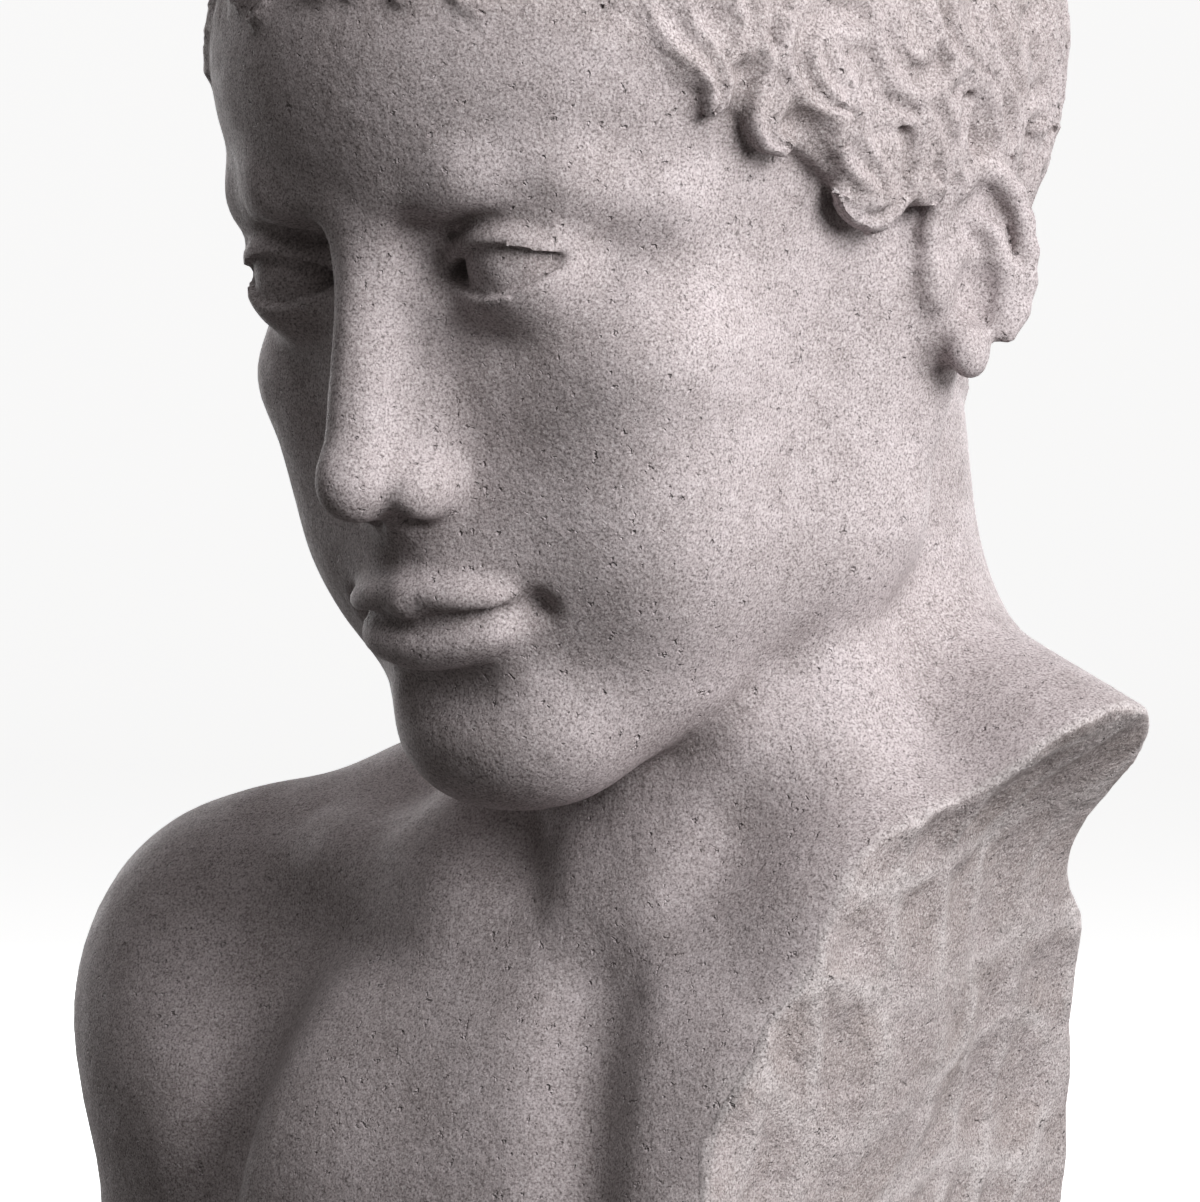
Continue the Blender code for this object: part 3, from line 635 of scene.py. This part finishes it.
def makeSkin():
    # The bust as one closed mesh in the chest's frame, in units; its underside is cut flat later
    reach = bust["shoulderReach"] / unit + skinStyle["margin"]
    drop = bust["pitHeight"] / unit + skinStyle["margin"]
    low = vec(-reach, skinStyle["front"], -drop)
    high = vec(skinStyle["left"], skinStyle["back"], skinStyle["top"])
    step = skinStyle["step"]
    counts = np.ceil((high - low) / step / 5).astype(int) * 5
    field = sampleField(low, counts, step)
    floor = low[2] + 2.5 * step - (low[2] + np.arange(counts[2]) * step)
    corners, faces = laySkin(np.maximum(field, floor.astype(np.float32)), low, step)
    mesh = bpy.data.meshes.new("bustSkin")
    mesh.vertices.add(len(corners))
    mesh.vertices.foreach_set("co", corners.ravel())
    mesh.loops.add(faces.size)
    mesh.loops.foreach_set("vertex_index", faces.ravel().astype(np.int32))
    mesh.polygons.add(len(faces))
    mesh.polygons.foreach_set("loop_start", np.arange(0, faces.size, 4, dtype=np.int32))
    mesh.update(calc_edges=True)
    return mesh


def readPoints(mesh):
    points = np.empty(len(mesh.vertices) * 3)
    mesh.vertices.foreach_get("co", points)
    return points.reshape(-1, 3)


def thinSkin(mesh):
    # Smaller triangles where the carving is fine, larger ones on the plain chest, arm and back
    block = bpy.data.objects.new("bustSkin", mesh)
    bpy.context.scene.collection.objects.link(block)
    group = block.vertex_groups.new(name="plain")
    heights = readPoints(mesh)[:, 2]
    fade = skinStyle["plainTop"] - skinStyle["plainBase"]
    levels = np.round(10.0 * (1.0 - (heights - skinStyle["plainBase"]) / fade)) / 10.0
    levels = np.clip(levels, skinStyle["leastPlain"], 1.0)
    for level in np.unique(levels):
        group.add(np.flatnonzero(levels == level).tolist(), float(level), "REPLACE")
    even = block.modifiers.new("even", "SMOOTH")
    even.factor = 0.5
    even.iterations = skinStyle["smooth"]
    thin = block.modifiers.new("thin", "DECIMATE")
    thin.vertex_group = "plain"
    thin.vertex_group_factor = 1.0
    thin.ratio = skinStyle["triangles"] / (2.0 * len(mesh.polygons))
    graph = bpy.context.evaluated_depsgraph_get()
    thinned = bpy.data.meshes.new_from_object(block.evaluated_get(graph))
    bpy.data.objects.remove(block)
    return thinned


def cutBase(mesh):
    # The flat underside, at the pit's height above it
    shape = bmesh.new()
    shape.from_mesh(mesh)
    cut = {"plane_co": (0.0, 0.0, -bust["pitHeight"] / unit), "plane_no": (0, 0, 1)}
    everything = shape.verts[:] + shape.edges[:] + shape.faces[:]
    bmesh.ops.bisect_plane(shape, geom=everything, dist=0.01, clear_inner=True, **cut)
    rim = [edge for edge in shape.edges if edge.is_boundary]
    bmesh.ops.contextual_create(shape, geom=rim)
    bmesh.ops.triangulate(shape, faces=[face for face in shape.faces if len(face.verts) > 4])
    bmesh.ops.recalc_face_normals(shape, faces=shape.faces[:])
    shape.to_mesh(mesh)
    shape.free()


def addMasks(mesh):
    # Where the stone is broken, where it is hair, and how shut in each point is, which paints shade into
    # the hollows
    points = readPoints(mesh)
    normals = np.empty(len(points) * 3)
    mesh.vertex_normals.foreach_get("vector", normals)
    normals = normals.reshape(-1, 3)
    belowNape = points[:, 2] < 75.0
    broken = np.clip(1.0 + breakDepth(points) / 2.0, 0.0, 1.0) * belowNape
    head = toHead(points)
    skull = (length((head - skullCentre) / skullRadii) - 1.0) * skullRadii[2]
    hair = np.clip(hairZone(head) / 5.0 + 0.8, 0.0, 1.0) * np.clip((skull + 6.0) / 4.0, 0.0, 1.0)
    # Painted shade: how shut in each point is by the carving, from the field a little way out along its
    # normal
    deep = np.zeros(len(points))
    for gap, share in ((2.5, 0.5), (7.0, 0.5)):
        around = modelBust(points + normals * gap)
        deep += share * np.clip(1.0 - around / gap, 0.0, 1.0)
    ridge = broken * np.clip(1.0 - 4.0 * breakScoops(points[:, 1], points[:, 2]), 0.0, 1.0)
    for name, values in (("broken", broken), ("ridge", ridge), ("hair", hair), ("deep", deep)):
        layer = mesh.attributes.new(name, "FLOAT", "POINT")
        layer.data.foreach_set("value", values.astype(np.float32))


# Marble, its weathering and the painted shade in its hollows: linear colours, features to the metre, and
# depths of relief in metres
marble = {
    "pale": (0.580, 0.510, 0.522, 1.0),
    "dull": (0.430, 0.372, 0.374, 1.0),
    # colour of the painted shade that darkens the hollows
    "paintedShade": (0.130, 0.106, 0.098, 1.0),
    "fleck": (0.100, 0.084, 0.080, 1.0),
    "tan": (0.400, 0.338, 0.322, 1.0),
    "spark": (0.800, 0.770, 0.770, 1.0),
    "worn": (0.680, 0.620, 0.620, 1.0),
    "roughness": 0.70,
    "clouds": 34.0,
    "blotches": 120.0,
    "stain": 58.0,
    "grain": 1900.0,
    "specks": 620.0,
    "fineRelief": (900.0, 0.00022),
    "softRelief": (230.0, 0.0005),
    "pitRelief": (420.0, 0.0007),
    "breakRelief": (150.0, 0.0020),
    "hairRelief": (300.0, 0.0006),
}


class Value:
    # A socket that Python's operators can work on; each one adds a Math node
    def __init__(self, tree, socket):
        self.tree = tree
        self.socket = socket

    def join(self, operation, *others, flip=False):
        node = self.tree.nodes.new("ShaderNodeMath")
        node.operation = operation
        terms = [self, *others]
        if flip:
            terms.reverse()
        for place, term in enumerate(terms):
            if isinstance(term, Value):
                self.tree.links.new(term.socket, node.inputs[place])
            else:
                node.inputs[place].default_value = term
        return Value(self.tree, node.outputs[0])

    def __add__(self, other):
        return self.join("ADD", other)

    def __radd__(self, other):
        return self.join("ADD", other, flip=True)

    def __sub__(self, other):
        return self.join("SUBTRACT", other)

    def __rsub__(self, other):
        return self.join("SUBTRACT", other, flip=True)

    def __mul__(self, other):
        return self.join("MULTIPLY", other)

    def __rmul__(self, other):
        return self.join("MULTIPLY", other, flip=True)

    def __truediv__(self, other):
        return self.join("DIVIDE", other)

    def clamp(self):
        return self.join("MAXIMUM", 0.0).join("MINIMUM", 1.0)


class Shade:
    # A node tree, with one way to add a node: its type, its settings, and its sockets' values or links
    def __init__(self, tree):
        self.tree = tree

    def add(self, kind, settings=None, **sockets):
        node = self.tree.nodes.new(kind)
        for name, setting in (settings or {}).items():
            if name == "stops":
                ramp = node.color_ramp
                while len(ramp.elements) < len(setting):
                    ramp.elements.new(0.5)
                for element, (place, colour) in zip(ramp.elements, setting):
                    element.position = place
                    element.color = colour
            else:
                setattr(node, name, setting)
        for name, term in sockets.items():
            socket = node.inputs[int(name[1:])] if name[0] == "_" else node.inputs[name]
            if isinstance(term, Value):
                self.tree.links.new(term.socket, socket)
            else:
                socket.default_value = term
        return node

    def out(self, node, name=0):
        return Value(self.tree, node.outputs[name])

    def noise(self, place, scale, detail=3.0, rough=0.55, twist=0.0):
        given = {"Vector": place, "Scale": scale, "Detail": detail, "Roughness": rough, "Distortion": twist}
        return self.out(self.add("ShaderNodeTexNoise", **given), "Fac")

    def ramp(self, value, *stops):
        greys = [(place, (grey, grey, grey, 1.0)) for place, grey in stops]
        return self.out(self.add("ShaderNodeValToRGB", {"stops": greys}, Fac=value))

    def mix(self, share, first, second, blend="MIX"):
        kind = {"data_type": "RGBA", "blend_type": blend}
        node = self.add("ShaderNodeMix", kind, _0=share, _6=first, _7=second)
        return Value(self.tree, node.outputs[2])

    def layer(self, name):
        return self.out(self.add("ShaderNodeAttribute", {"attribute_name": name}), "Fac")


def makeMarble():
    material = bpy.data.materials.new("weatheredMarble")
    material.use_nodes = True
    tree = material.node_tree
    tree.nodes.clear()
    shade = Shade(tree)
    place = shade.out(shade.add("ShaderNodeTexCoord"), "Object")
    broken = shade.layer("broken")
    hair = shade.layer("hair")
    deep = shade.layer("deep")

    # Colour: soft clouds, a browner break and hair, worn pale edges and ridges on the break, painted
    # shade darkening the hollows, and a fine dark and pale grain
    clouds = shade.ramp(shade.noise(place, marble["clouds"], 4.0, 0.6), (0.36, 0.0), (0.66, 1.0))
    blotches = shade.ramp(shade.noise(place, marble["blotches"], 4.0, 0.62), (0.38, 0.0), (0.64, 1.0))
    colour = shade.mix((clouds * 0.55 + blotches * 0.45).clamp(), marble["pale"], marble["dull"])
    stain = shade.ramp(shade.noise(place, marble["stain"], 5.0, 0.65, 0.4), (0.40, 0.0), (0.68, 1.0))
    tint = (broken * (0.35 + 0.5 * stain) + hair * (0.12 + 0.25 * stain)).clamp()
    colour = shade.mix(tint, colour, marble["tan"])
    worn = (broken * (1.0 - broken) * 4.0 + shade.layer("ridge") * 0.9) * (0.5 + stain)
    colour = shade.mix(worn.clamp() * 0.8, colour, marble["worn"])
    # Painted shade: points shut in by the carving are darkened towards a dark brown, more where the
    # blotches are
    paintedShade = ((deep - 0.12) * 1.5).clamp() * (0.55 + 0.45 * blotches)
    colour = shade.mix((paintedShade * 0.55).clamp(), colour, marble["paintedShade"])
    grain = shade.noise(place, marble["grain"], 2.0, 0.7)
    specks = shade.ramp(grain, (0.30, 1.0), (0.52, 0.0))
    colour = shade.mix((specks * 0.85).clamp(), colour, marble["fleck"])
    sparks = shade.ramp(grain, (0.54, 0.0), (0.70, 1.0))
    colour = shade.mix((sparks * 0.5).clamp(), colour, marble["spark"])
    coarse = shade.ramp(shade.noise(place, marble["specks"], 3.0, 0.7), (0.30, 1.0), (0.42, 0.0))
    colour = shade.mix((coarse * (0.35 + 0.3 * hair)).clamp(), colour, marble["fleck"])

    # Relief of the stone itself: fine grain, pits, and a rougher break
    scale, depth = marble["fineRelief"]
    height = shade.noise(place, scale, 4.0, 0.65) * depth
    scale, depth = marble["softRelief"]
    height = height + shade.noise(place, scale, 4.0, 0.6) * depth
    scale, depth = marble["pitRelief"]
    height = height - shade.ramp(shade.noise(place, scale, 2.0, 0.6), (0.24, 1.0), (0.34, 0.0)) * depth
    scale, depth = marble["breakRelief"]
    height = height + broken * shade.noise(place, scale, 6.0, 0.62) * depth
    scale, depth = marble["hairRelief"]
    height = height + hair * shade.noise(place, scale, 4.0, 0.65) * depth
    bump = shade.add("ShaderNodeBump", Strength=0.9, Distance=1.0, Height=height)
    roughness = marble["roughness"] + 0.12 * blotches
    shader = shade.add("ShaderNodeBsdfPrincipled")
    tree.links.new(colour.socket, shader.inputs["Base Color"])
    tree.links.new(roughness.socket, shader.inputs["Roughness"])
    tree.links.new(bump.outputs[0], shader.inputs["Normal"])
    shader.inputs["Specular IOR Level"].default_value = 0.35
    output = shade.add("ShaderNodeOutputMaterial")
    tree.links.new(shader.outputs[0], output.inputs["Surface"])
    return material


# Wear of the stone, cut into the skin itself: how deep, and how many features to the metre
wear = {
    "Skin wear": 0.00045,
    "Skin grain": 75.0,
    "Hair wear": 0.0012,
    "Hair grain": 150.0,
    "Break wear": 0.0024,
    "Break grain": 70.0,
    "Flat below": 0.006,     # no wear near the flat underside
}


def makeWear():
    # Pushes the skin in and out along its normals by noise, each on its own part of the stone
    tree = bpy.data.node_groups.new("stoneWear", "GeometryNodeTree")
    tree.interface.new_socket(name="Geometry", in_out="INPUT", socket_type="NodeSocketGeometry")
    for name in wear:
        tree.interface.new_socket(name=name, in_out="INPUT", socket_type="NodeSocketFloat")
    tree.interface.new_socket(name="Material", in_out="INPUT", socket_type="NodeSocketMaterial")
    tree.interface.new_socket(name="Geometry", in_out="OUTPUT", socket_type="NodeSocketGeometry")
    shade = Shade(tree)
    given = shade.add("NodeGroupInput")
    place = shade.out(shade.add("GeometryNodeInputPosition"))
    push = None
    for part, layer, detail in (("Skin", None, 3.0), ("Hair", "hair", 4.0), ("Break", "broken", 6.0)):
        grain = shade.out(given, part + " grain")
        swell = (shade.noise(place, grain, detail, 0.6) - 0.5) * shade.out(given, part + " wear")
        if layer:
            mask = shade.add("GeometryNodeInputNamedAttribute", {"data_type": "FLOAT"}, Name=layer)
            swell = swell * shade.out(mask)
        push = swell if push is None else push + swell
    height = shade.out(shade.add("ShaderNodeSeparateXYZ", Vector=place), 2)
    push = push * (height / shade.out(given, "Flat below")).clamp()
    normal = shade.out(shade.add("GeometryNodeInputNormal"))
    offset = shade.out(shade.add("ShaderNodeVectorMath", {"operation": "SCALE"}, _0=normal, Scale=push))
    moved = shade.add("GeometryNodeSetPosition", Geometry=shade.out(given, "Geometry"), Offset=offset)
    whole = shade.add("GeometryNodeRealizeInstances", Geometry=shade.out(moved))
    stone = shade.out(given, "Material")
    clad = shade.add("GeometryNodeSetMaterial", Geometry=shade.out(whole), Material=stone)
    shade.add("NodeGroupOutput", Geometry=shade.out(clad))
    return tree


def wearDown(mesh, material):
    block = bpy.data.objects.new("unworn", mesh)
    bpy.context.scene.collection.objects.link(block)
    tree = makeWear()
    names = {item.name: item.identifier for item in tree.interface.items_tree if item.in_out == "INPUT"}
    modifier = block.modifiers.new("wear", "NODES")
    modifier.node_group = tree
    for name, value in wear.items():
        modifier[names[name]] = value
    modifier[names["Material"]] = material
    worn = bpy.data.meshes.new_from_object(block.evaluated_get(bpy.context.evaluated_depsgraph_get()))
    bpy.data.objects.remove(block)
    return worn


def toMetres(mesh):
    points = readPoints(mesh) * unit + vec(0.0, 0.0, bust["pitHeight"])
    mesh.vertices.foreach_set("co", points.ravel())
    mesh.update()


def placeOnFrame(mesh):
    # Over the middle of the solid's box, and a hair's breadth smaller where it would stand out of it
    points = readPoints(mesh)
    solid = np.array(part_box("marble_bust"))
    spread = points.max(axis=0) - points.min(axis=0)
    fit = min(1.0, ((solid.max(axis=0) - solid.min(axis=0) - 0.0001) / spread).min())
    points *= fit
    shift = (solid.min(axis=0) + solid.max(axis=0)) / 2 - (points.min(axis=0) + points.max(axis=0)) / 2
    shift[2] = 0.0
    mesh.vertices.foreach_set("co", (points + shift).ravel())
    mesh.update()
    print("fitted by", round(fit, 4))
    return vec(0.0, 0.0, bust["pitHeight"]) * fit + shift


def makeBust():
    mesh = thinSkin(makeSkin())
    print("skin laid:", len(mesh.polygons), "faces")
    cutBase(mesh)
    addMasks(mesh)
    toMetres(mesh)
    mesh = wearDown(mesh, makeMarble())
    mesh.validate()
    print("stone worn")
    pit = placeOnFrame(mesh)
    mesh.shade_smooth()
    mesh.set_sharp_from_angle(angle=math.radians(60))
    piece = bpy.data.objects.new("carved_bust", mesh)
    bpy.context.scene.collection.objects.link(piece)
    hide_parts("marble_bust")
    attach(piece, "root")
    return pit


# Camera: the photograph's side of the figure, level, with a long lens
view = {
    "azimuth": 38.0,
    "rise": 0.0,
    "distance": 1.5,
    "width": 0.2564,         # of the frame, at the pit of the neck
    "pitAcross": 620.0,      # pixel of the pit in the 1200 by 1202 photograph
    "pitDown": 940.0,
    "photoWidth": 1200.0,
    "photoHeight": 1202.0,
}


def aim(thing, target):
    back = thing.location - target
    thing.rotation_euler = back.to_track_quat("Z", "Y").to_euler()


def makeCamera(pit):
    azimuth = math.radians(view["azimuth"])
    rise = math.radians(view["rise"])
    right = Vector((math.cos(azimuth), math.sin(azimuth), 0.0))
    back = Vector((math.sin(azimuth) * math.cos(rise), -math.cos(azimuth) * math.cos(rise), math.sin(rise)))
    up = back.cross(right)
    pixel = view["width"] / view["photoWidth"]
    target = pit + right * (view["photoWidth"] / 2 - view["pitAcross"]) * pixel
    target += up * (view["pitDown"] - view["photoHeight"] / 2) * pixel
    camera = bpy.data.objects.new("camera", bpy.data.cameras.new("camera"))
    bpy.context.scene.collection.objects.link(camera)
    camera.location = target + back * view["distance"]
    aim(camera, target)
    # The frame's longer side, its height, spans the sensor
    camera.data.sensor_fit = "VERTICAL"
    camera.data.sensor_height = 36.0
    camera.data.lens = 36.0 * view["distance"] / (view["width"] * view["photoHeight"] / view["photoWidth"])
    camera.data.clip_start = 0.05
    bpy.context.scene.camera = camera
    return target, right, back, up


# Lamps: side, rise and nearness as seen from the camera, in metres; watts; size
lamps = {
    "side": ((1.332, 0.0, 0.222), 7.8, 0.6),
    "key": ((0.786, 0.491, 0.982), 19.4, 0.6),
    "top": ((0.466, 1.025, 0.745), 3.9, 0.6),
    "rim": ((-0.629, 1.153, 0.314), 2.2, 0.6),
    "backLeft": ((-0.6, 0.15, -1.2), 11.0, 0.8),
    "backRight": ((0.6, 0.15, -1.2), 11.0, 0.8),
}
air = {"colour": (1.0, 0.965, 0.93, 1.0), "strength": 0.080}


def makeLamps(target, right, back, up):
    for name, ((side, rise, near), power, size) in lamps.items():
        lamp = bpy.data.objects.new(name, bpy.data.lights.new(name, "AREA"))
        lamp.data.energy = power
        lamp.data.size = size
        bpy.context.scene.collection.objects.link(lamp)
        lamp.location = target + right * side + up * rise + back * near
        aim(lamp, target)
    world = bpy.data.worlds.new("studio")
    world.use_nodes = True
    sky = world.node_tree.nodes["Background"].inputs
    sky["Color"].default_value = air["colour"]
    sky["Strength"].default_value = air["strength"]
    bpy.context.scene.world = world


# The floor and the wall round it, in metres
stage = {"wall": 7.0, "height": 5.0, "curve": 2.0, "sides": 96, "grey": 0.86, "glow": 0.85}


def makeStage():
    # A pale floor that sweeps up all round the bust, behind every side that is looked at
    start = stage["wall"] - stage["curve"]
    profile = [(start, 0.0)]
    for step in range(1, 13):
        angle = math.radians(7.5 * step)
        profile.append((start + stage["curve"] * math.sin(angle), stage["curve"] * (1.0 - math.cos(angle))))
    profile.append((stage["wall"], stage["height"]))
    turns = [2.0 * math.pi * place / stage["sides"] for place in range(stage["sides"])]
    shape = bmesh.new()
    rings = []
    for far, high in profile:
        ring = [(far * math.cos(turn), far * math.sin(turn), high) for turn in turns]
        rings.append([shape.verts.new(point) for point in ring])
    shape.faces.new(rings[0])
    for lower, upper in zip(rings, rings[1:]):
        for place in range(stage["sides"]):
            after = (place + 1) % stage["sides"]
            shape.faces.new((lower[after], lower[place], upper[place], upper[after]))
    mesh = bpy.data.meshes.new("sweep")
    shape.to_mesh(mesh)
    shape.free()
    mesh.shade_smooth()
    material = bpy.data.materials.new("paleSweep")
    material.use_nodes = True
    shader = material.node_tree.nodes["Principled BSDF"]
    shader.inputs["Base Color"].default_value = (stage["grey"], stage["grey"], stage["grey"], 1.0)
    shader.inputs["Roughness"].default_value = 0.9
    shader.inputs["Emission Color"].default_value = (1.0, 1.0, 1.0, 1.0)
    shader.inputs["Emission Strength"].default_value = stage["glow"]
    mesh.materials.append(material)
    sweep = bpy.data.objects.new("sweep", mesh)
    bpy.context.scene.collection.objects.link(sweep)
    sweep.visible_diffuse = False
    sweep.visible_glossy = False


pit = makeBust()
print("bust carved")
target, right, back, up = makeCamera(Vector(pit))
makeLamps(target, right, back, up)
makeStage()
print("studio set")
bpy.context.scene.view_settings.view_transform = "Standard"
